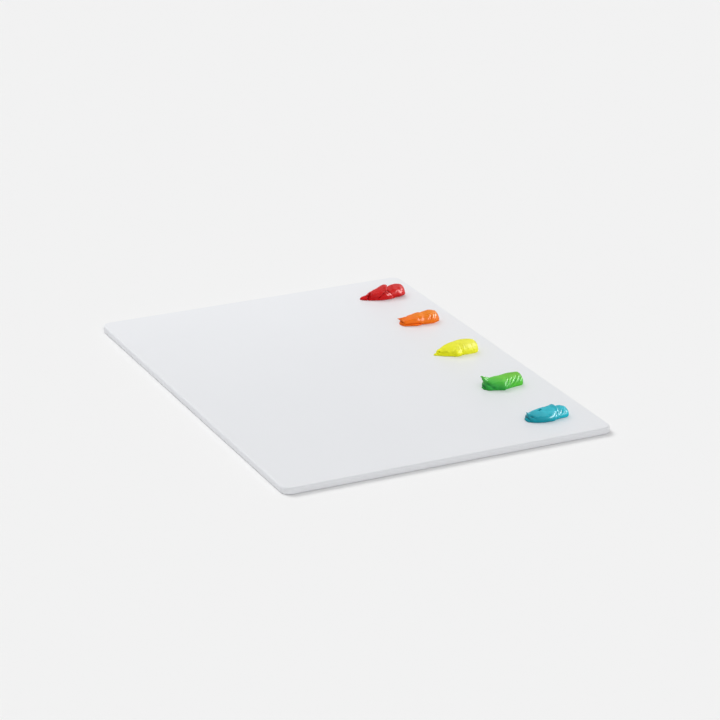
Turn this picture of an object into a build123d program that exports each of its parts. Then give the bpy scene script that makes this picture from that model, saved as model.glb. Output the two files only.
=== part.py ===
"""Tabletop paint palette: a plain rectangular board with five dabs of wet paint in a row.

Millimetres, +Z up. The origin is the centre of the board's underside: X runs across the board, from
its open mixing side to the row of paint, and Y runs along it. Each dab is one mass of paint squeezed
out towards -X, so it has a rounded head at its +X end and a drawn-out tail at its -X end. It lies
face to face on the board.
"""

import os
from dataclasses import dataclass

from build123d import *

# The board
BOARD_WIDTH = 228.6  # across, along X
BOARD_LENGTH = 304.8  # along Y
BOARD_THICKNESS = 4.7625
CORNER_RADIUS = 6.5  # of the four corners, seen from above
EDGE_RADIUS = 1.2  # of the top and bottom edges

# The row of paint
ROW_INSET = 29.3  # from the board's +X edge to the row's centre line
ROW_END_INSET = 32.4  # from each end of the board to the middle of the nearest dab

# A usual dab, as a tube squeezes it
DAB_LENGTH = 29.0
DAB_WIDTH = 14.0
DAB_HEIGHT = 8.2
TIP_RADIUS = 0.15  # where a drawn-out wisp ends

# The cross-section that all dabs share, each value as a share of the dab's own width or height
FOOT_SHARE = 0.78  # width where it touches the board
BULGE_SHARE = 0.38  # height at which it is widest
SHOULDER_WIDTH = 0.66  # width at the rounding between side and crown
SHOULDER_HEIGHT = 0.86  # height of that rounding


@dataclass
class Dab:
    """One dab of paint.

    A station is (place, width, height, sideways): its place from the tail at 0 to the head at 1, and
    the rest as shares of the dab's width, height and width. Sideways is towards +Y. A wisp is a point
    that the tube drew out as it was pulled away: a list of (place, sideways, height, radius) from its
    root to its tip, where a radius too is a share of the dab's width. The last station of a wisp has
    no radius, because it ends at TIP_RADIUS.
    """

    name: str
    length: float  # in millimetres, as are its width and height
    width: float
    height: float
    off_row: tuple  # (x, y) from its place in an even row, as shares of its width
    turn: float  # degrees about Z
    stations: list
    wisp: list


DABS = [
    Dab(
        name="paint_dab_red",
        length=1.08 * DAB_LENGTH,
        width=DAB_WIDTH,
        height=1.07 * DAB_HEIGHT,
        off_row=(0.04, -0.20),
        turn=-2.0,
        stations=[
            (0.00, 0.24, 0.12, 0.14),
            (0.09, 0.46, 0.20, 0.10),
            (0.19, 0.74, 0.32, 0.04),
            (0.27, 0.86, 0.62, 0.02),
            (0.38, 0.95, 0.84, 0.01),
            (0.51, 1.00, 1.00, 0.00),
            (0.61, 0.97, 0.90, 0.00),
            (0.75, 0.98, 0.93, 0.01),
            (0.88, 0.90, 0.87, 0.03),
            (0.96, 0.62, 0.64, 0.04),
            (1.00, 0.26, 0.32, 0.04),
        ],
        wisp=[(0.23, 0.07, 0.27, 0.09), (0.20, 0.08, 0.48, 0.06), (0.17, 0.09, 0.61)],
    ),
    Dab(
        name="paint_dab_orange",
        length=0.97 * DAB_LENGTH,
        width=0.93 * DAB_WIDTH,
        height=0.98 * DAB_HEIGHT,
        off_row=(0.09, 0.18),
        turn=-3.0,
        stations=[
            (0.00, 0.30, 0.16, 0.08),
            (0.07, 0.56, 0.34, 0.06),
            (0.20, 0.82, 0.56, 0.03),
            (0.38, 0.96, 0.76, 0.00),
            (0.56, 1.00, 0.84, 0.00),
            (0.74, 0.98, 1.00, 0.01),
            (0.87, 0.88, 0.92, 0.03),
            (0.96, 0.62, 0.66, 0.04),
            (1.00, 0.26, 0.32, 0.04),
        ],
        wisp=[(0.14, 0.12, 0.27, 0.11), (0.05, 0.20, 0.40, 0.06), (-0.01, 0.25, 0.52)],
    ),
    Dab(
        name="paint_dab_yellow",
        length=1.03 * DAB_LENGTH,
        width=1.03 * DAB_WIDTH,
        height=1.02 * DAB_HEIGHT,
        off_row=(-0.17, 0.07),
        turn=-2.0,
        stations=[
            (0.00, 0.16, 0.10, 0.11),
            (0.08, 0.44, 0.30, 0.08),
            (0.20, 0.72, 0.54, 0.04),
            (0.38, 0.98, 0.80, 0.00),
            (0.54, 1.00, 0.96, -0.02),
            (0.70, 1.00, 1.00, 0.00),
            (0.86, 0.92, 0.95, 0.01),
            (0.96, 0.64, 0.70, 0.02),
            (1.00, 0.28, 0.34, 0.02),
        ],
        wisp=[(0.11, 0.07, 0.19, 0.07), (0.04, 0.08, 0.26, 0.04), (-0.01, 0.07, 0.36)],
    ),
    Dab(
        name="paint_dab_green",
        length=0.94 * DAB_LENGTH,
        width=1.01 * DAB_WIDTH,
        height=0.98 * DAB_HEIGHT,
        off_row=(-0.15, -0.27),
        turn=1.0,
        stations=[
            (0.00, 0.34, 0.34, 0.00),
            (0.06, 0.62, 0.56, 0.00),
            (0.18, 0.88, 0.74, -0.01),
            (0.38, 1.00, 0.84, -0.03),
            (0.58, 0.98, 0.94, -0.01),
            (0.76, 0.94, 1.00, 0.00),
            (0.90, 0.82, 0.92, 0.01),
            (0.98, 0.56, 0.66, 0.02),
            (1.00, 0.30, 0.40, 0.02),
        ],
        wisp=[
            (0.08, 0.03, 0.40, 0.13),
            (0.03, 0.06, 0.70, 0.08),
            (-0.02, 0.11, 0.95, 0.05),
            (-0.08, 0.16, 1.05),
        ],
    ),
    Dab(
        name="paint_dab_blue",
        length=0.95 * DAB_LENGTH,
        width=0.99 * DAB_WIDTH,
        height=0.93 * DAB_HEIGHT,
        off_row=(-0.13, -0.17),
        turn=0.0,
        stations=[
            (0.00, 0.36, 0.26, 0.03),
            (0.07, 0.64, 0.48, 0.02),
            (0.20, 0.88, 0.72, 0.00),
            (0.38, 1.00, 0.86, -0.01),
            (0.52, 1.00, 0.94, 0.00),
            (0.62, 0.98, 1.00, 0.01),
            (0.70, 0.95, 0.90, 0.01),
            (0.80, 0.92, 0.88, 0.01),
            (0.91, 0.76, 0.72, 0.02),
            (0.98, 0.52, 0.50, 0.03),
            (1.00, 0.26, 0.28, 0.03),
        ],
        wisp=[(0.07, 0.07, 0.32, 0.09), (0.02, 0.10, 0.50, 0.06), (-0.02, 0.12, 0.66)],
    ),
]


def board():
    """One solid sheet with rounded corners and softened edges."""
    sheet = extrude(RectangleRounded(BOARD_WIDTH, BOARD_LENGTH, CORNER_RADIUS), BOARD_THICKNESS)
    faces = sheet.faces().sort_by(Axis.Z)
    return fillet(faces[0].edges() + faces[-1].edges(), EDGE_RADIUS)


def cross_section(x, half_width, height, sideways):
    """A dab's section at x: a flat foot under an arch that bulges a little beyond it."""

    def point(across, up):
        return (x, sideways + across * half_width, up * height)

    foot = Line(point(-FOOT_SHARE, 0), point(FOOT_SHARE, 0))
    arch = Spline(
        point(FOOT_SHARE, 0),
        point(1, BULGE_SHARE),
        point(SHOULDER_WIDTH, SHOULDER_HEIGHT),
        point(0, 1),
        point(-SHOULDER_WIDTH, SHOULDER_HEIGHT),
        point(-1, BULGE_SHARE),
        point(-FOOT_SHARE, 0),
    )
    return make_face([foot, arch])


def from_middle(dab, place):
    """The distance along a dab from its middle to a place, which is 0 at the tail and 1 at the head."""
    return place * dab.length - dab.length / 2


def dab_body(dab):
    """The mass of a dab, with the middle of its foot at the origin."""
    sections = []
    for place, width, height, sideways in dab.stations:
        half_width = width * dab.width / 2
        x = from_middle(dab, place)
        sections.append(cross_section(x, half_width, height * dab.height, sideways * dab.width))
    return loft(sections)


def dab_wisp(dab):
    """The drawn-out point of a dab: round sections that shrink along a path."""
    middles = [
        Vector(from_middle(dab, place), sideways * dab.width, height * dab.height)
        for place, sideways, height, *radius in dab.wisp
    ]
    radii = [radius * dab.width for place, sideways, height, radius in dab.wisp[:-1]] + [TIP_RADIUS]
    rings = []
    for n, middle in enumerate(middles):
        before = middles[max(n - 1, 0)]
        after = middles[min(n + 1, len(middles) - 1)]
        rings.append(Plane(middle, z_dir=after - before) * Circle(radii[n]))
    return loft(rings)


def placed_dab(dab, number):
    """A dab on the board, at its place in the row counted from the board's +Y end."""
    pitch = (BOARD_LENGTH - 2 * ROW_END_INSET) / (len(DABS) - 1)
    off_x, off_y = dab.off_row
    x = BOARD_WIDTH / 2 - ROW_INSET + off_x * dab.width
    y = BOARD_LENGTH / 2 - ROW_END_INSET - number * pitch + off_y * dab.width
    return Pos(x, y, BOARD_THICKNESS) * Rot(0, 0, dab.turn) * (dab_body(dab) + dab_wisp(dab))


def main():
    os.makedirs("parts", exist_ok=True)
    export_step(board(), "parts/board.step")
    for number, dab in enumerate(DABS):
        export_step(placed_dab(dab, number), f"parts/{dab.name}.step")


main()
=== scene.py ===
"""The looks of the tabletop paint palette: a matte white board and five dabs of wet, glossy paint.

The board is the CAD node with a finer material. Each dab is a mesh drawn from a distance field: beads of
paint that were laid over each other, the ribs that the tube left in them, and the points that it drew out
when it was lifted. Distances in the dabs' fields are in millimetres, and everything else is in metres.
"""

import math
from dataclasses import dataclass

import bpy
import numpy as np
import openvdb
from mathutils import Matrix, Vector


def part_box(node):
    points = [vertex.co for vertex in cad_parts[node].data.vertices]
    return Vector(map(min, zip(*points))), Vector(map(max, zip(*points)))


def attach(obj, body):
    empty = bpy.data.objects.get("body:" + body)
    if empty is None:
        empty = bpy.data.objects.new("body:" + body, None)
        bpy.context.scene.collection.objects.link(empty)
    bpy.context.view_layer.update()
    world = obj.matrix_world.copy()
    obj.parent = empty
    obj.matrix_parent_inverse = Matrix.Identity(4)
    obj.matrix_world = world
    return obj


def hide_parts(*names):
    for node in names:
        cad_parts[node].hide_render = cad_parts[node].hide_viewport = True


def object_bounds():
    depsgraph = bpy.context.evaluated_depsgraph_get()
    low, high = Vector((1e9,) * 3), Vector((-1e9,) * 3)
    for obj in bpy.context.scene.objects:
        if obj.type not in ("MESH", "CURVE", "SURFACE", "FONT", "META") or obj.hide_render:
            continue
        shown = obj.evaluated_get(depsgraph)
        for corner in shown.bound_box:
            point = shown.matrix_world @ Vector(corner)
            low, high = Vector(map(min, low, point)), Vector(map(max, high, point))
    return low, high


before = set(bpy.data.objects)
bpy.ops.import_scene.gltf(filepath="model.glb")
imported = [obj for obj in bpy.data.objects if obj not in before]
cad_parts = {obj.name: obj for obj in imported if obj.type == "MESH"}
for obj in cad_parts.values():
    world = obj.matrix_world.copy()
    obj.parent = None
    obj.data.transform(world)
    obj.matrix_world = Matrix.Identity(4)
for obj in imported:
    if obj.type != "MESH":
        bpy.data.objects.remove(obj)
cad_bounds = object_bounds()
scene = bpy.context.scene

MM = 0.001


# Camera, floor and light --------------------------------------------------------------------------

CAMERA_LENS = 139.04  # in millimetres, as is the sensor
CAMERA_SENSOR = 36.0
CAMERA_DISTANCE = 1.871  # from the point it looks at
CAMERA_AZIMUTH = math.radians(-26.18)
CAMERA_ELEVATION = math.radians(21.76)
CAMERA_ROLL = math.radians(0.545)
AIM_FROM_MIDDLE = Vector((0.0236, 0.0272, 0.0))  # on the ground, from the middle of the board

FLOOR_SIZE = 14.0
FLOOR_GREY = 0.888  # of the floor and of the backdrop round the horizon, linear
OVERHEAD_GREY = 0.24  # of the backdrop above the object, where only gloss looks
BACKDROP_TURNS = (math.radians(12), math.radians(27))  # elevations between which one turns into the other

# The share of a level surface's light that each gives. At 1 in all, a colour shows as it is written
SKY_SHARE = 0.47
KEY_SHARE = 0.15
OPEN_KEY_SHARE = 0.22  # the rest of the key light, from which the paint casts no shadow
FRONT_SHARE = 0.16
PAINT_LAMP_SHARE = 0.22  # of a lamp for the paint alone, which isn't counted with the four above
FRONT_GLINT_SHARE = 0.80  # of the glints, which are seen in the paint's gloss alone
SIDE_GLINT_SHARE = 0.70

KEY_PLACE = {"azimuth": -162, "elevation": 47, "spread": 34}  # in degrees

FAR_LAMP_POWER = 0.13  # in watts
FAR_LAMP_SIZE = 0.3
FAR_LAMP_PAST = 0.15  # the board's far edge
FAR_LAMP_ABOVE = 0.25  # the board's top


def direction(azimuth, elevation):
    """The unit vector towards a place in the sky. Azimuth 0 is -Y and 90 degrees is +X."""
    return Vector(
        (
            math.sin(azimuth) * math.cos(elevation),
            -math.cos(azimuth) * math.cos(elevation),
            math.sin(elevation),
        )
    )


def add_camera():
    camera = bpy.data.objects.new("camera", bpy.data.cameras.new("camera"))
    scene.collection.objects.link(camera)
    camera.data.lens = CAMERA_LENS
    camera.data.sensor_width = CAMERA_SENSOR
    camera.data.clip_start = 0.01
    camera.data.clip_end = 50.0
    low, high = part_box("board")
    aim = (low + high) / 2 + AIM_FROM_MIDDLE
    aim.z = low.z
    back = direction(CAMERA_AZIMUTH, CAMERA_ELEVATION)
    facing = (-back).to_track_quat("-Z", "Y").to_matrix().to_4x4()
    place = Matrix.Translation(aim + back * CAMERA_DISTANCE)
    camera.matrix_world = place @ facing @ Matrix.Rotation(CAMERA_ROLL, 4, "Z")
    scene.camera = camera


def collected(name, pieces):
    """A collection of the given pieces, for a lamp's light linking."""
    collection = bpy.data.collections.new(name)
    for piece in pieces:
        collection.objects.link(piece)
    return collection


def lit_alone(lamp, pieces):
    """Keeps a lamp's light to the given pieces."""
    lamp.light_linking.receiver_collection = collected("lit_by_" + lamp.name, pieces)


def shadowed_alone(lamp, pieces):
    """Lets only the given pieces cast a shadow from a lamp."""
    lamp.light_linking.blocker_collection = collected("blocks_" + lamp.name, pieces)


def add_sun(name, share, azimuth, elevation, spread, gloss_alone=False):
    """A distant soft lamp. Share is what it gives a level surface, and spread is how wide it looks.

    Angles are in degrees. The light that shapes the object isn't seen in gloss, and a lamp that is seen
    there gives nothing else.
    """
    data = bpy.data.lights.new(name, "SUN")
    data.energy = share * math.pi / math.sin(math.radians(elevation))
    data.angle = math.radians(spread)
    lamp = bpy.data.objects.new(name, data)
    scene.collection.objects.link(lamp)
    towards = direction(math.radians(azimuth), math.radians(elevation))
    lamp.rotation_euler = towards.to_track_quat("Z", "Y").to_euler()
    lamp.visible_glossy = gloss_alone
    lamp.visible_diffuse = not gloss_alone
    return lamp


def add_far_lamp(pieces):
    """A soft lamp past the far edge, for the object alone: its light fades towards the near edge."""
    data = bpy.data.lights.new("far", "AREA")
    data.size = FAR_LAMP_SIZE
    data.energy = FAR_LAMP_POWER
    lamp = bpy.data.objects.new("far", data)
    scene.collection.objects.link(lamp)
    low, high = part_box("board")
    lamp.location = ((low.x + high.x) / 2, high.y + FAR_LAMP_PAST, high.z + FAR_LAMP_ABOVE)
    lamp.visible_glossy = False
    lit_alone(lamp, pieces)


def any_of(nodes, links, sockets):
    """The largest of some values."""
    result = sockets[0]
    for socket in sockets[1:]:
        larger = nodes.new("ShaderNodeMath")
        larger.operation = "MAXIMUM"
        links.new(result, larger.inputs[0])
        links.new(socket, larger.inputs[1])
        result = larger.outputs[0]
    return result


def add_world():
    """An even sky that lights the object, and a backdrop that is seen past it and in gloss.

    The backdrop has the floor's colour round the horizon, and is darker overhead.
    """
    world = bpy.data.worlds.new("world")
    scene.world = world
    world.use_nodes = True
    nodes, links = world.node_tree.nodes, world.node_tree.links
    nodes.clear()
    sky = nodes.new("ShaderNodeBackground")
    sky.inputs["Color"].default_value = (1.0, 1.0, 1.0, 1.0)
    sky.inputs["Strength"].default_value = SKY_SHARE
    towards = nodes.new("ShaderNodeTexCoord")
    height = nodes.new("ShaderNodeSeparateXYZ")
    links.new(towards.outputs["Generated"], height.inputs["Vector"])
    heights = [math.sin(elevation) for elevation in BACKDROP_TURNS]
    grey = mapped(nodes, links, height.outputs["Z"], heights, (FLOOR_GREY, OVERHEAD_GREY))
    backdrop = nodes.new("ShaderNodeBackground")
    links.new(grey, backdrop.inputs["Color"])
    path = nodes.new("ShaderNodeLightPath")
    seen = [path.outputs[name] for name in ("Is Camera Ray", "Is Glossy Ray", "Is Transmission Ray")]
    mix = nodes.new("ShaderNodeMixShader")
    links.new(any_of(nodes, links, seen), mix.inputs["Fac"])
    links.new(sky.outputs[0], mix.inputs[1])
    links.new(backdrop.outputs[0], mix.inputs[2])
    out = nodes.new("ShaderNodeOutputWorld")
    links.new(mix.outputs[0], out.inputs["Surface"])


def add_floor():
    level = cad_bounds[0][2]
    half = FLOOR_SIZE / 2
    mesh = bpy.data.meshes.new("floor")
    corners = [(-half, -half, level), (half, -half, level), (half, half, level), (-half, half, level)]
    mesh.from_pydata(corners, [], [(0, 1, 2, 3)])
    floor = bpy.data.objects.new("floor", mesh)
    scene.collection.objects.link(floor)
    material, _, _, shader = new_material("studio_floor")
    shader.inputs["Base Color"].default_value = (FLOOR_GREY, FLOOR_GREY, FLOOR_GREY, 1.0)
    shader.inputs["Roughness"].default_value = 1.0
    shader.inputs["Specular IOR Level"].default_value = 0.0
    mesh.materials.append(material)


# Materials ----------------------------------------------------------------------------------------

# Noise scales are in features to the metre
NOISE_RANGE = (0.3, 0.7)  # in which nearly all of a noise's values lie

# The board
BOARD_COLOURS = ((0.802, 0.813, 0.837), (0.808, 0.819, 0.843))
BOARD_CLOUD_SCALE = 14.0
BOARD_ROUGHNESS = (0.36, 0.42)
BOARD_ROUGHNESS_SCALE = 60.0
BOARD_IOR = 1.5
BOARD_GRAIN_SCALE = 2200.0
BOARD_GRAIN_STRENGTH = 0.12
BOARD_GRAIN_DEPTH = 0.0001

# The paint
STREAK_STRETCH = (0.25, 1.0, 1.0)  # of its noise, which is drawn out along X
STREAK_SCALE = 900.0
STREAK_MOST = 0.35  # of the deep colour in a streak
PAINT_ROUGHNESS_SCALE = 350.0
PAINT_IOR = 1.39
RIPPLE_SCALE = 1400.0
RIPPLE_STRENGTH = 0.25
RIPPLE_DEPTH = 0.00012
FOOT_GLOSS = 0.08  # of the paint at its foot
CROWN_ROUGHNESS = 0.4  # added where it lies level, so that its crown has a sheen and no glare
CROWN_SLOPES = (0.80, 0.94)  # the normal's Z where that starts, and where it is all added

# Where on a dab the painted shading or the gloss comes in, as weights and an offset for share_of_box
# painted shading: the crest takes a darker tone, for how the light falls on it
CREST_SHADING_PLACE = ((0.6, 0.0, 2.2), -1.6)
# painted shade: the front of the tail's foot is darkened, as shade
TAIL_SHADE_PLACE = ((-2.0, -0.8, -1.0), 1.95)
ABOVE_FOOT = ((0.0, 0.0, 4.5), -1.0)


def new_material(name):
    material = bpy.data.materials.new(name)
    material.use_nodes = True
    nodes, links = material.node_tree.nodes, material.node_tree.links
    return material, nodes, links, nodes["Principled BSDF"]


def object_coordinates(nodes, links, scale):
    """The place on the object, stretched by scale along X, Y and Z."""
    coordinates = nodes.new("ShaderNodeTexCoord")
    mapping = nodes.new("ShaderNodeMapping")
    mapping.inputs["Scale"].default_value = scale
    links.new(coordinates.outputs["Object"], mapping.inputs["Vector"])
    return mapping.outputs["Vector"]


def noise(nodes, links, vector, scale, detail=2.0, roughness=0.5):
    texture = nodes.new("ShaderNodeTexNoise")
    texture.inputs["Scale"].default_value = scale
    texture.inputs["Detail"].default_value = detail
    texture.inputs["Roughness"].default_value = roughness
    links.new(vector, texture.inputs["Vector"])
    return texture.outputs["Fac"]


def mapped(nodes, links, value, source, target):
    """A value mapped from one range onto another, and kept within it."""
    node = nodes.new("ShaderNodeMapRange")
    node.inputs["From Min"].default_value, node.inputs["From Max"].default_value = source
    node.inputs["To Min"].default_value, node.inputs["To Max"].default_value = target
    links.new(value, node.inputs["Value"])
    return node.outputs["Result"]


def bumped(nodes, links, height, strength, depth):
    """The normal of a surface with a fine relief."""
    bump = nodes.new("ShaderNodeBump")
    bump.inputs["Strength"].default_value = strength
    bump.inputs["Distance"].default_value = depth
    links.new(height, bump.inputs["Height"])
    return bump.outputs["Normal"]


def mixed_colour(nodes, links, factor, first, second):
    """A mix of two colours, each of which is a colour or a socket."""
    mix = nodes.new("ShaderNodeMix")
    mix.data_type = "RGBA"
    for name, value in (("A", first), ("B", second)):
        if isinstance(value, tuple):
            mix.inputs[name].default_value = (*value, 1.0)
        else:
            links.new(value, mix.inputs[name])
    links.new(factor, mix.inputs["Factor"])
    return mix.outputs["Result"]


def board_material():
    """Matte white sheet plastic: a fine orange-peel grain and the faintest cloudiness."""
    material, nodes, links, shader = new_material("matte_white_plastic")
    place = object_coordinates(nodes, links, (1.0, 1.0, 1.0))
    cloud = noise(nodes, links, place, BOARD_CLOUD_SCALE, detail=3.0)
    cloudy = mapped(nodes, links, cloud, NOISE_RANGE, (0.0, 1.0))
    colour = mixed_colour(nodes, links, cloudy, *BOARD_COLOURS)
    links.new(colour, shader.inputs["Base Color"])
    patches = noise(nodes, links, place, BOARD_ROUGHNESS_SCALE)
    links.new(mapped(nodes, links, patches, NOISE_RANGE, BOARD_ROUGHNESS), shader.inputs["Roughness"])
    shader.inputs["IOR"].default_value = BOARD_IOR
    grain = noise(nodes, links, place, BOARD_GRAIN_SCALE, detail=3.0)
    normal = bumped(nodes, links, grain, BOARD_GRAIN_STRENGTH, BOARD_GRAIN_DEPTH)
    links.new(normal, shader.inputs["Normal"])
    return material


def share_of_box(nodes, links, weights, offset):
    """Weights times the place in the piece's box, plus an offset, kept from 0 to 1.

    Each axis of the box runs from 0 to 1.
    """
    coordinates = nodes.new("ShaderNodeTexCoord")
    product = nodes.new("ShaderNodeVectorMath")
    product.operation = "DOT_PRODUCT"
    product.inputs[1].default_value = weights
    links.new(coordinates.outputs["Generated"], product.inputs[0])
    total = nodes.new("ShaderNodeMath")
    total.operation = "ADD"
    total.use_clamp = True
    total.inputs[1].default_value = offset
    links.new(product.outputs["Value"], total.inputs[0])
    return total.outputs["Value"]


def hollowness(nodes):
    """How deep in a hollow the surface lies, from 0 to 1, as the mesh holds it."""
    attribute = nodes.new("ShaderNodeAttribute")
    attribute.attribute_name = HOLLOW_NAME
    return attribute.outputs["Fac"]


def added_on_crown(nodes, links, value, extra):
    """A value that grows by an extra where the surface lies level."""
    parts = nodes.new("ShaderNodeSeparateXYZ")
    links.new(nodes.new("ShaderNodeNewGeometry").outputs["Normal"], parts.inputs["Vector"])
    total = nodes.new("ShaderNodeMath")
    total.operation = "ADD"
    links.new(value, total.inputs[0])
    links.new(mapped(nodes, links, parts.outputs["Z"], CROWN_SLOPES, (0.0, extra)), total.inputs[1])
    return total.outputs["Value"]


def paint_material(dab):
    """Wet paint, streaked along the way it was squeezed.

    Painted light and shade: its crest is toned darker for the light there, and it is painted darker
    round its thick tail's foot and in its hollows, as shade. Its foot has less gloss, and it is less
    smooth where it lies level.
    """
    material, nodes, links, shader = new_material("wet_" + dab.slot)
    along = object_coordinates(nodes, links, STREAK_STRETCH)
    fine = noise(nodes, links, along, STREAK_SCALE, detail=3.0, roughness=0.6)
    streak = mapped(nodes, links, fine, NOISE_RANGE, (0.0, STREAK_MOST))
    streaked = mixed_colour(nodes, links, streak, dab.colour, dab.deep_streak_and_shade_colour)
    # painted shading: the crest is toned darker, for how the light falls there
    crest = share_of_box(nodes, links, *CREST_SHADING_PLACE)
    crest_shaded = mixed_colour(nodes, links, crest, streaked, dab.crest_shading_colour)
    # painted shade: darker round the front of the tail's foot
    tail = share_of_box(nodes, links, *TAIL_SHADE_PLACE)
    tail_shaded = mixed_colour(nodes, links, tail, crest_shaded, dab.deep_streak_and_shade_colour)
    # painted shade: the paint is darkened in its hollows and creases, by how deep they lie
    final = mixed_colour(nodes, links, hollowness(nodes), tail_shaded, dab.hollow_shade_colour)
    links.new(final, shader.inputs["Base Color"])
    patches = noise(nodes, links, along, PAINT_ROUGHNESS_SCALE)
    rough = mapped(nodes, links, patches, NOISE_RANGE, dab.roughness)
    links.new(added_on_crown(nodes, links, rough, CROWN_ROUGHNESS), shader.inputs["Roughness"])
    above = share_of_box(nodes, links, *ABOVE_FOOT)
    gloss = mapped(nodes, links, above, (0.0, 1.0), (FOOT_GLOSS, dab.gloss))
    links.new(gloss, shader.inputs["Specular IOR Level"])
    shader.inputs["IOR"].default_value = PAINT_IOR
    ripples = noise(nodes, links, along, RIPPLE_SCALE, detail=2.0)
    links.new(bumped(nodes, links, ripples, RIPPLE_STRENGTH, RIPPLE_DEPTH), shader.inputs["Normal"])
    return material


# The dabs' distance fields, in millimetres --------------------------------------------------------

VOXEL = 0.2
FIELD_HALF_SIZE = (18.0, 9.0)  # of the room for a dab
FIELD_TOP = 10.0
MARGIN = 1.4  # of empty field around that room

# A bead's width where it touches the board, as a share of its widest, at its tail and at its head
ROUND_FOOT = (0.78, 0.78)
SPREAD_FOOT = (0.72, 0.95)  # of a bead whose head has sunk and spread

# The height at which a bead is widest, as a share of its own height, at its tail and at its head
ROUND_BULGE = (0.38, 0.38)

LEAST_SIZE = 0.05  # of a bead where it closes
TINY = 1e-6  # keeps a division by 0 out of the fields
POINT_BLEND = 0.25  # between the parts of a drawn-out point

# How far the paint's surface strays from its shape
UNEVEN_DEPTH = 0.12
UNEVEN_SIZE = 6.0
FINE_UNEVEN_DEPTH = 0.05
FINE_UNEVEN_SIZE = 2.4

# The paint is painted darker in its hollows, as shade, by how deep in one a point lies
HOLLOW_NAME = "hollow"  # of the attribute that holds how deep in a hollow a point lies
HOLLOW_REACH = 5  # in voxels, round a point, that its hollowness is told from
HOLLOW_STARTS = 0.03  # how far a point is sunk where it starts to count as a hollow
HOLLOW_IN_FULL = 0.36


def smooth_curve(places, values, at):
    """A curve through the values at the places that doesn't overshoot them."""
    places, values = np.asarray(places, float), np.asarray(values, float)
    steps = np.diff(places)
    slopes = np.diff(values) / steps
    tangents = np.zeros_like(values)
    same_way = slopes[1:] * slopes[:-1] > 0
    together = np.where(same_way, slopes[1:] + slopes[:-1], 1.0)
    tangents[1:-1] = np.where(same_way, 2 * slopes[1:] * slopes[:-1] / together, 0.0)
    tangents[0], tangents[-1] = slopes[0], slopes[-1]
    at = np.clip(at, places[0], places[-1])
    n = np.clip(np.searchsorted(places, at) - 1, 0, len(steps) - 1)
    t = (at - places[n]) / steps[n]
    return (
        (1 + 2 * t) * (1 - t) ** 2 * values[n]
        + t * (1 - t) ** 2 * steps[n] * tangents[n]
        + t * t * (3 - 2 * t) * values[n + 1]
        + t * t * (t - 1) * steps[n] * tangents[n + 1]
    )


def joined(a, b, blend):
    """Two masses of paint run together, with a fillet of about the blend's size."""
    h = np.clip(0.5 + 0.5 * (b - a) / blend, 0, 1)
    return b * (1 - h) + a * h - blend * h * (1 - h)


def cut(a, b, blend):
    """The first mass with the second taken out of it."""
    return -joined(-a, b, blend)


def bead(p, stations, foot=ROUND_FOOT, bulge=ROUND_BULGE):
    """A bead of paint along X with rounded ends. Stations are (x, half width, height, sideways)."""
    x = p[0]
    places, widths, heights, sideways = (np.array(column, float) for column in zip(*stations))
    inside = (x > places[0]) & (x < places[-1])
    width = np.sqrt(np.maximum(smooth_curve(places, widths**2, x), LEAST_SIZE**2))
    height = np.sqrt(np.maximum(smooth_curve(places, heights**2, x), LEAST_SIZE**2))
    across = (p[1] - smooth_curve(places, sideways, x)) / width
    ends = (places[0], places[-1])
    middle = np.interp(x, ends, bulge) * height
    below = middle / np.sqrt(1 - np.interp(x, ends, foot) ** 2)
    reach = np.where(p[2] > middle, height - middle, below)
    up = (p[2] - middle) / reach
    r = np.sqrt(across**2 + up**2) + TINY
    distance = (r - 1) * r / np.sqrt((across / width) ** 2 + (up / reach) ** 2 + TINY)
    beyond = np.maximum(places[0] - x, x - places[-1])
    return np.where(inside, distance, np.maximum(distance, beyond + 0.01))


def from_line(p, start, end):
    """The distance from a line between two points, and the share of it before the nearest place."""
    a, b = np.array(start), np.array(end)
    along = b - a
    t = np.clip(sum((p[i] - a[i]) * along[i] for i in range(3)) / (along @ along), 0, 1)
    return np.sqrt(sum((p[i] - a[i] - t * along[i]) ** 2 for i in range(3))), t


def drawn_point(p, path):
    """A point that the tube drew out: round cones along a path of (x, y, z, radius)."""
    result = None
    for start, end in zip(path[:-1], path[1:]):
        away, t = from_line(p, start[:3], end[:3])
        part = away - (start[3] + (end[3] - start[3]) * t)
        result = part if result is None else joined(result, part, POINT_BLEND)
    return result


def seam(a, b, width, depth):
    """The furrow where two masses meet: how deep it is."""
    return depth * np.exp(-(((a - b) / width) ** 2))


def lump(p, middle, radii, turn=0.0, tilt=0.0):
    """An ellipsoid, turned about Z and then tilted about its own Y."""
    turn, tilt = math.radians(turn), math.radians(tilt)
    x, y, z = (p[i] - middle[i] for i in range(3))
    x, y = x * math.cos(turn) + y * math.sin(turn), y * math.cos(turn) - x * math.sin(turn)
    x, z = x * math.cos(tilt) - z * math.sin(tilt), z * math.cos(tilt) + x * math.sin(tilt)
    a, b, c = radii
    r = np.sqrt((x / a) ** 2 + (y / b) ** 2 + (z / c) ** 2) + TINY
    slope = np.sqrt((x / a**2) ** 2 + (y / b**2) ** 2 + (z / c**2) ** 2) + TINY
    return (r - 1) * r / slope


def ribs(p, heading, spacing, depth):
    """Ridges across a heading (x, y, z), spaced evenly: how far they stand out."""
    heading = np.array(heading, float)
    heading /= np.linalg.norm(heading)
    phase = sum(p[i] * heading[i] for i in range(3)) / spacing
    return depth * (np.abs(np.cos(np.pi * phase)) - 0.5)


def crease(p, start, end, width, depth):
    """A furrow along a line between two points: how deep it is."""
    away, _ = from_line(p, start, end)
    return depth * np.exp(-((away / width) ** 2))


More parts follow.
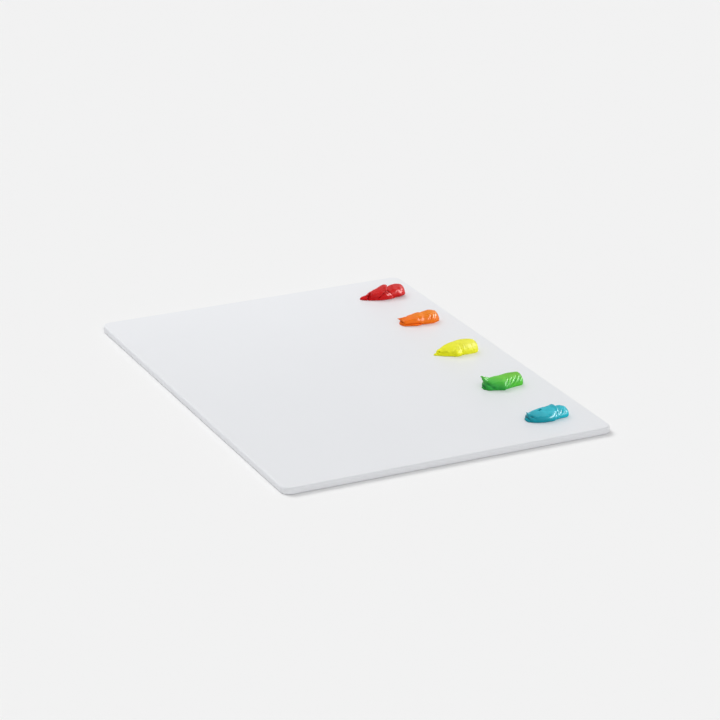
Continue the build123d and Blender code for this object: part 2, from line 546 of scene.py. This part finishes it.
def furrows(p, middle, lean, marks):
    """Short furrows that lean as they rise, on the front of a bead: how deep they are.

    They lie about a middle height. A mark is (x, width, depth).
    """
    front = (-10.0, -2.0, 3.0)  # from, to and the softness of its edges, along Y
    half_height = 2.3
    along = p[0] - lean * (p[2] - middle)
    total = sum(depth * np.exp(-(((along - x) / width) ** 2)) for x, width, depth in marks)
    return total * within(p[1], *front) * np.exp(-(((p[2] - middle) / half_height) ** 2))


def sliced(p, a, at, heading, blend):
    """The part of a mass before a plane, which is square to a heading and at a distance along it."""
    heading = np.array(heading, float)
    heading /= np.linalg.norm(heading)
    beyond = sum(p[i] * heading[i] for i in range(3)) - at
    return -joined(-a, -beyond, blend)


def within(value, low, high, soft):
    """1 where the value is between low and high, falling to 0 over a soft edge."""
    return np.clip((value - low) / soft + 0.5, 0, 1) * np.clip((high - value) / soft + 0.5, 0, 1)


def uneven(p, size, seed):
    """Soft unevenness of about the given size, from about -1 to 1: three sets of ever longer waves."""
    total = 0.0
    for n in range(3):
        k = 2 * np.pi / (size * (1.0 + 0.37 * n))
        a, b, c = seed + 1.7 * n, seed * 1.3 + 2.1 * n, seed * 0.7 + 0.9 * n
        along = np.sin(k * (p[0] + 0.6 * p[1]) + a)
        across = np.sin(k * (p[1] - 0.4 * p[2]) + b)
        total = total + along * across * np.cos(k * p[2] + c)
    return total / 1.8


def streaks(p, seed, lines):
    """Lines along the bead, as a tube's mouth draws them, from -1 to 1. So many of them go round it."""
    core = 3.0  # the height that they go round
    around = np.arctan2(p[2] - core, p[1])
    wander = 0.15 * np.sin(0.45 * p[0] + seed)
    fine = 2 * lines - 3
    coarse = np.sin(lines * (around + wander) + seed)
    return 0.6 * coarse + 0.4 * np.sin(fine * (around - wander) + 2 * seed)


def red_dab(p):
    """A ribbed leaf of paint slantwise over a round head, hollow at its tail, on a flat tongue."""
    leaf = bead(
        p,
        [
            (-14.8, 0.0, 0.0, 1.1),
            (-13.8, 1.7, 2.6, 0.9),
            (-12.3, 2.8, 3.9, 0.7),
            (-10.6, 3.8, 4.8, 0.5),
            (-7.6, 5.0, 5.9, 0.2),
            (-3.0, 6.7, 7.5, 0.0),
            (0.8, 7.1, 8.9, 0.0),
            (3.6, 6.6, 8.6, 0.1),
            (7.5, 0.0, 0.0, 0.3),
        ],
    )
    leaf = leaf - ribs(p, (0.55, 0.25, -0.8), 1.25, 0.2)
    leaf = sliced(p, leaf, -5.4, (1.0, -0.2, -1.25), 0.5)
    leaf = sliced(p, leaf, 3.5, (1.0, -0.5, 0.0), 1.2)
    head = bead(
        p,
        [
            (-9.5, 0.0, 0.0, 0.2),
            (-7.0, 4.2, 2.9, 0.1),
            (-3.5, 5.8, 4.9, 0.1),
            (0.0, 6.5, 6.4, 0.2),
            (3.6, 6.2, 7.0, 0.3),
            (6.6, 6.3, 8.0, 0.4),
            (10.0, 6.9, 8.0, 0.6),
            (13.4, 5.8, 7.4, 1.1),
            (16.2, 0.0, 0.0, 1.2),
        ],
        foot=(0.95, 0.34),
    )
    head = head + furrows(p, 5.0, -1.0, [(-0.6, 0.6, 0.4), (1.6, 1.0, 0.6), (10.2, 1.2, 0.4)])
    tongue = bead(
        p,
        [
            (-17.9, 0.0, 0.0, 1.9),
            (-16.6, 1.9, 1.7, 1.8),
            (-10.6, 4.8, 2.4, 1.0),
            (-4.0, 6.3, 2.8, 0.2),
            (2.0, 6.7, 2.7, 0.1),
            (6.0, 5.2, 1.8, 0.3),
            (9.0, 0.0, 0.0, 0.5),
        ],
    )
    shape = joined(leaf, head, 0.3) + seam(leaf, head, 0.5, 0.5)
    slot = lump(p, (-12.1, -1.3, 2.8), (0.75, 3.0, 3.4), tilt=33)
    return cut(joined(shape, tongue, 0.25), slot, 0.25)


def orange_dab(p):
    """A bead on a thin sole, with an open mouth between them at its tail and ribs across its head."""
    tail = bead(
        p,
        [
            (-13.6, 0.0, 0.0, 0.6),
            (-12.2, 3.6, 3.3, 0.5),
            (-8.0, 5.0, 4.9, 0.3),
            (-3.0, 5.8, 6.4, 0.1),
            (0.0, 5.6, 6.9, 0.2),
            (6.0, 0.0, 0.0, 0.2),
        ],
        foot=(0.5, 0.65),
        bulge=(0.5, 0.45),
    )
    tail = tail - ribs(p, (0.35, 0.6, -0.75), 1.6, 0.12)
    head = bead(
        p,
        [
            (-4.0, 0.0, 0.0, 0.1),
            (-1.6, 5.0, 5.4, 0.2),
            (0.0, 5.9, 6.1, 0.2),
            (1.5, 6.0, 6.5, 0.2),
            (5.0, 6.3, 7.2, 0.2),
            (8.5, 6.3, 7.7, 0.4),
            (12.6, 4.7, 6.8, 1.0),
            (15.6, 0.0, 0.0, 0.5),
        ],
        foot=SPREAD_FOOT,
        bulge=(0.40, 0.36),
    )
    fine_ribs = ribs(p, (0.72, 0.70, 0.0), 1.6, 0.24)
    fine_ribs = fine_ribs * within(p[0], 2.5, 9.0, 2.0) * within(p[2], 5.8, 9.0, 1.0)
    head = head - fine_ribs + furrows(p, 4.2, 0.6, [(6.6, 0.8, 0.5), (10.0, 0.9, 0.4)])
    sole = bead(
        p,
        [
            (-13.7, 0.0, 0.0, 0.6),
            (-12.4, 3.9, 1.7, 0.5),
            (-8.0, 5.5, 2.2, 0.2),
            (-3.5, 6.3, 2.4, -0.1),
            (0.0, 5.6, 1.6, -0.2),
            (1.8, 0.0, 0.0, 0.0),
        ],
    )
    lip = drawn_point(p, [(-10.0, 1.6, 3.4, 1.6), (-12.6, 2.5, 3.5, 0.9), (-14.8, 3.3, 3.8, 0.12)])
    mouth = lump(p, (-14.0, -1.0, 2.5), (2.4, 4.8, 0.35), turn=8, tilt=10)
    shape = cut(joined(joined(tail, head, 1.4), lip, 0.9), mouth, 0.3)
    return joined(shape, sole, 0.15) + seam(shape, sole, 0.4, 0.4)


def yellow_dab(p):
    """A long hump over a thin lip, which swells into a rounded lobe in front of the hump's middle."""
    hump = bead(
        p,
        [
            (-13.4, 0.0, 0.0, 1.4),
            (-12.4, 2.6, 3.3, 1.1),
            (-10.2, 3.7, 4.0, 1.0),
            (-7.0, 5.2, 5.7, 0.7),
            (-3.5, 6.2, 6.9, 0.5),
            (0.0, 6.5, 7.7, 0.3),
            (6.0, 6.9, 8.5, 0.2),
            (11.2, 6.5, 8.0, 0.3),
            (14.4, 5.2, 6.8, 0.4),
            (16.4, 0.0, 0.0, 0.4),
        ],
        foot=SPREAD_FOOT,
        bulge=(0.42, 0.34),
    )
    fine_ribs = ribs(p, (1.0, 0.1, 0.0), 1.5, 0.16)
    fine_ribs = fine_ribs * within(p[0], -2.0, 6.0, 2.0) * within(p[2], 3.5, 7.5, 1.5)
    hump = hump - fine_ribs
    hump = hump + furrows(p, 4.8, -0.3, [(2.0, 0.9, 0.2), (4.9, 1.0, 0.22), (9.6, 0.9, 0.25)])
    lip = bead(
        p,
        [
            (-15.2, 0.0, 0.0, 1.2),
            (-12.5, 1.6, 1.5, 0.3),
            (-9.0, 2.6, 2.2, -1.3),
            (-5.0, 3.4, 3.1, -2.5),
            (-1.4, 4.9, 5.3, -3.1),
            (1.0, 4.6, 5.2, -3.1),
            (4.0, 0.0, 0.0, -2.9),
        ],
    )
    tip = drawn_point(p, [(-12.4, 1.1, 1.0, 0.9), (-14.6, 1.0, 0.8, 0.5), (-16.4, 0.7, 0.4, 0.12)])
    shape = joined(hump, lip, 0.7) + seam(hump, lip, 0.7, 0.18)
    shape = shape + crease(p, (-13.4, 0.2, 1.6), (-8.6, -3.6, 2.9), 0.65, 0.9)
    shape = cut(shape, lump(p, (-12.6, -0.4, 2.6), (1.2, 1.0, 0.8)), 0.3)
    return joined(shape, tip, 0.5)


def green_dab(p):
    """A flat-topped bead: a curled horn at its tail, a swelling in front and folds round its head."""
    body = bead(
        p,
        [
            (-12.8, 0.0, 0.0, 0.2),
            (-11.6, 4.2, 4.4, 0.1),
            (-9.0, 5.9, 5.8, 0.0),
            (-5.0, 6.9, 6.5, -0.3),
            (-1.3, 8.1, 6.8, -1.1),
            (0.8, 7.3, 7.0, -0.8),
            (7.0, 6.4, 7.6, -0.1),
            (13.4, 5.8, 7.1, 0.4),
            (15.9, 0.0, 0.0, 0.5),
        ],
        foot=(0.80, 0.90),
        bulge=(0.46, 0.36),
    )
    horn = drawn_point(
        p,
        [
            (-9.2, 0.0, 3.0, 2.8),
            (-11.2, 0.3, 5.2, 1.7),
            (-12.2, 0.8, 6.9, 1.1),
            (-13.0, 1.4, 8.0, 0.7),
            (-14.2, 1.9, 8.6, 0.1),
        ],
    )
    web = drawn_point(p, [(-12.4, 1.4, 6.3, 0.8), (-10.4, 2.4, 6.4, 0.9), (-7.6, 2.6, 5.4, 1.1)])
    foot = lump(p, (-10.9, 0.2, 0.6), (2.5, 3.3, 1.5))
    shape = joined(joined(body, horn, 0.9), web, 0.5)
    shape = shape + crease(p, (-12.6, -1.0, 5.0), (-8.4, -5.6, 2.2), 1.3, 1.0)
    folds = [(0.6, 0.7, 0.5), (3.4, 0.7, 0.6), (6.9, 0.8, 0.8), (10.7, 0.7, 0.6)]
    shape = shape + furrows(p, 3.9, 1.0, folds)
    return joined(shape, foot, 0.3) + seam(shape, foot, 0.6, 0.3)


def blue_dab(p):
    """A bead: a short spike at its tail, a peak on its crest, a pit and folds round its head."""
    body = bead(
        p,
        [
            (-14.1, 0.0, 0.0, 0.5),
            (-12.4, 4.4, 3.7, 0.3),
            (-8.4, 6.4, 5.1, 0.0),
            (-4.0, 7.6, 5.9, -0.3),
            (0.0, 7.8, 6.5, -0.4),
            (2.4, 7.7, 6.8, -0.4),
            (4.2, 7.1, 7.1, 0.0),
            (5.7, 6.8, 7.8, 0.0),
            (7.0, 6.5, 6.2, 0.1),
            (8.6, 6.4, 5.8, 0.2),
            (10.6, 6.2, 6.2, 0.2),
            (13.7, 5.4, 5.3, 0.4),
            (15.7, 0.0, 0.0, 0.5),
        ],
        foot=(0.86, 0.84),
        bulge=(0.44, 0.34),
    )
    spike = drawn_point(p, [(-11.2, 1.0, 2.6, 1.7), (-12.5, 1.2, 4.2, 0.8), (-13.6, 1.6, 5.6, 0.12)])
    foot = lump(p, (-12.2, 0.2, 0.9), (2.5, 3.7, 1.8))
    pit = lump(p, (-4.1, 1.2, 6.5), (1.5, 1.3, 3.0))
    shape = cut(joined(body, spike, 0.7), pit, 0.35)
    shape = shape + crease(p, (-13.0, -0.2, 4.2), (-9.8, -4.8, 2.2), 0.8, 0.6)
    folds = [(3.4, 1.0, 0.45), (5.9, 0.7, 0.4), (8.4, 0.6, 0.35), (11.2, 0.6, 0.35)]
    shape = shape + furrows(p, 3.9, 1.2, folds)
    return joined(shape, foot, 0.3) + seam(shape, foot, 0.6, 0.3)


@dataclass
class Dab:
    """One dab of paint: what it stands in for, its shape and its looks."""

    node: str  # of the CAD
    slot: str
    shape: object  # the function that gives its distance field
    colour: tuple
    deep_streak_and_shade_colour: tuple  # in its streaks, and as painted shade round the front of its thick tail's foot
    # painted shading on the crest, darker than the paint for how the light falls there
    crest_shading_colour: tuple
    # painted shade in the hollows and creases
    hollow_shade_colour: tuple
    seed: float  # of its lines and its unevenness
    roughness: tuple = (0.19, 0.29)
    gloss: float = 0.46
    shift: float = 0.0  # of its middle from the middle of the CAD node, along X in millimetres
    turn: float = 0.0  # in degrees about Z
    lines: int = 15  # round the bead
    line_depth: float = 0.035


DABS = [
    Dab(
        "paint_dab_red",
        "paint_red",
        red_dab,
        colour=(0.54, 0.013, 0.012),
        deep_streak_and_shade_colour=(0.49, 0.008, 0.010),
        crest_shading_colour=(0.48, 0.012, 0.012),
        hollow_shade_colour=(0.17, 0.001, 0.004),
        turn=-2.0,
        seed=0.4,
        lines=11,
        line_depth=0.08,
    ),
    Dab(
        "paint_dab_orange",
        "paint_orange",
        orange_dab,
        colour=(0.72, 0.16, 0.005),
        deep_streak_and_shade_colour=(0.76, 0.145, 0.008),
        crest_shading_colour=(0.68, 0.19, 0.002),
        hollow_shade_colour=(0.64, 0.085, 0.006),
        turn=-3.0,
        seed=1.9,
    ),
    Dab(
        "paint_dab_yellow",
        "paint_yellow",
        yellow_dab,
        colour=(0.71, 0.70, 0.034),
        deep_streak_and_shade_colour=(0.71, 0.715, 0.016),
        crest_shading_colour=(0.65, 0.635, 0.045),
        hollow_shade_colour=(0.52, 0.53, 0.006),
        roughness=(0.40, 0.48),
        gloss=0.3,
        turn=-2.0,
        seed=2.6,
    ),
    Dab(
        "paint_dab_green",
        "paint_green",
        green_dab,
        colour=(0.105, 0.52, 0.042),
        deep_streak_and_shade_colour=(0.032, 0.32, 0.05),
        crest_shading_colour=(0.13, 0.38, 0.016),
        hollow_shade_colour=(0.01, 0.16, 0.032),
        gloss=0.42,
        shift=0.8,
        turn=1.0,
        seed=3.8,
    ),
    Dab(
        "paint_dab_blue",
        "paint_blue",
        blue_dab,
        colour=(0.012, 0.425, 0.515),
        deep_streak_and_shade_colour=(0.01, 0.26, 0.325),
        crest_shading_colour=(0.008, 0.355, 0.44),
        hollow_shade_colour=(0.003, 0.09, 0.12),
        seed=5.1,
        gloss=0.56,
    ),
]


def blurred(values, reach):
    """A grid of values, each averaged with its neighbours within a reach, in voxels."""
    for axis in range(3):
        values = sum(np.roll(values, n, axis) for n in range(-reach, reach + 1)) / (2 * reach + 1)
    return values


def sampled(values, places):
    """The values of a grid at places between its points, in voxels."""
    low = np.clip(np.floor(places).astype(int), 0, np.array(values.shape) - 2)
    part = places - low
    total = 0.0
    for corner in np.ndindex(2, 2, 2):
        share = np.prod(np.where(corner, part, 1 - part), axis=1)
        total = total + share * values[tuple((low + corner).T)]
    return total


def without_bubbles(points, quads):
    """The outer surface alone: a bubble that closed inside the paint is a small mesh of its own."""
    part = np.arange(len(points))
    settled = False
    while not settled:
        lower = part.copy()
        np.minimum.at(lower, quads, part[quads].min(axis=1, keepdims=True))
        lower = lower[lower]
        settled = np.array_equal(lower, part)
        part = lower
    kept = part == np.bincount(part).argmax()
    number = np.cumsum(kept) - 1
    return points[kept], number[quads[kept[quads[:, 0]]]]


def dab_mesh(dab, foot):
    """The dab's surface. The middle of its outline from above is at the given point of the board."""
    half_x, half_y = FIELD_HALF_SIZE
    starts = np.array([-half_x - MARGIN, -half_y - MARGIN, -MARGIN])
    ends = np.array([half_x + MARGIN, half_y + MARGIN, FIELD_TOP + MARGIN])
    axes = [np.arange(start, end, VOXEL) for start, end in zip(starts, ends)]
    p = np.meshgrid(*axes, indexing="ij")
    distance = dab.shape(p)
    distance = distance - UNEVEN_DEPTH * uneven(p, UNEVEN_SIZE, dab.seed)
    distance = distance - FINE_UNEVEN_DEPTH * uneven(p, FINE_UNEVEN_SIZE, dab.seed + 1.0)
    distance = distance - dab.line_depth * streaks(p, dab.seed, dab.lines)
    sunk = distance - blurred(distance, HOLLOW_REACH)
    distance = np.maximum(distance, -p[2])
    grid = openvdb.FloatGrid(MARGIN)
    grid.copyFromArray(distance.astype(np.float32))
    points, quads = without_bubbles(*grid.convertToQuads(0.0))
    hollow = (sampled(sunk, points) - HOLLOW_STARTS) / (HOLLOW_IN_FULL - HOLLOW_STARTS)
    hollow = np.clip(hollow, 0, 1)
    points = starts + VOXEL * points
    angle = math.radians(dab.turn)
    cosine, sine = math.cos(angle), math.sin(angle)
    turned = np.array([[cosine, -sine, 0], [sine, cosine, 0], [0, 0, 1]])
    points = points @ turned.T * MM
    middle = (points.min(0) + points.max(0)) / 2
    points = points + np.array(foot) - np.array([middle[0], middle[1], 0.0])
    mesh = bpy.data.meshes.new(dab.slot + "_dab")
    mesh.from_pydata(points.tolist(), [], quads.tolist())
    mesh.polygons.foreach_set("use_smooth", [True] * len(mesh.polygons))
    attribute = mesh.attributes.new(HOLLOW_NAME, "FLOAT", "POINT")
    attribute.data.foreach_set("value", hollow.astype(np.float32))
    mesh.update()
    return mesh


def add_dab(dab):
    low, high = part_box(dab.node)
    foot = ((low.x + high.x) / 2 + dab.shift * MM, (low.y + high.y) / 2, low.z)
    piece = bpy.data.objects.new(dab.slot + "_dab", dab_mesh(dab, foot))
    scene.collection.objects.link(piece)
    piece.data.materials.append(paint_material(dab))
    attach(piece, "root")
    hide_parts(dab.node)
    return piece


# The scene ----------------------------------------------------------------------------------------

scene.view_settings.view_transform = "Standard"
add_camera()
add_world()
add_floor()
add_sun("key", KEY_SHARE, **KEY_PLACE)
open_key = add_sun("open_key", OPEN_KEY_SHARE, **KEY_PLACE)
add_sun("front", FRONT_SHARE, azimuth=0, elevation=43, spread=50)

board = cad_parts["board"]
board.data.materials.clear()
board.data.materials.append(board_material())

dabs = [add_dab(dab) for dab in DABS]
shadowed_alone(open_key, [board])
add_far_lamp([board, *dabs])
paint_lamps = [
    add_sun("paint", PAINT_LAMP_SHARE, azimuth=42, elevation=25, spread=50),
    add_sun("front_glint", FRONT_GLINT_SHARE, azimuth=46, elevation=29, spread=42, gloss_alone=True),
    add_sun("side_glint", SIDE_GLINT_SHARE, azimuth=80, elevation=38, spread=30, gloss_alone=True),
]
for lamp in paint_lamps:
    lit_alone(lamp, dabs)
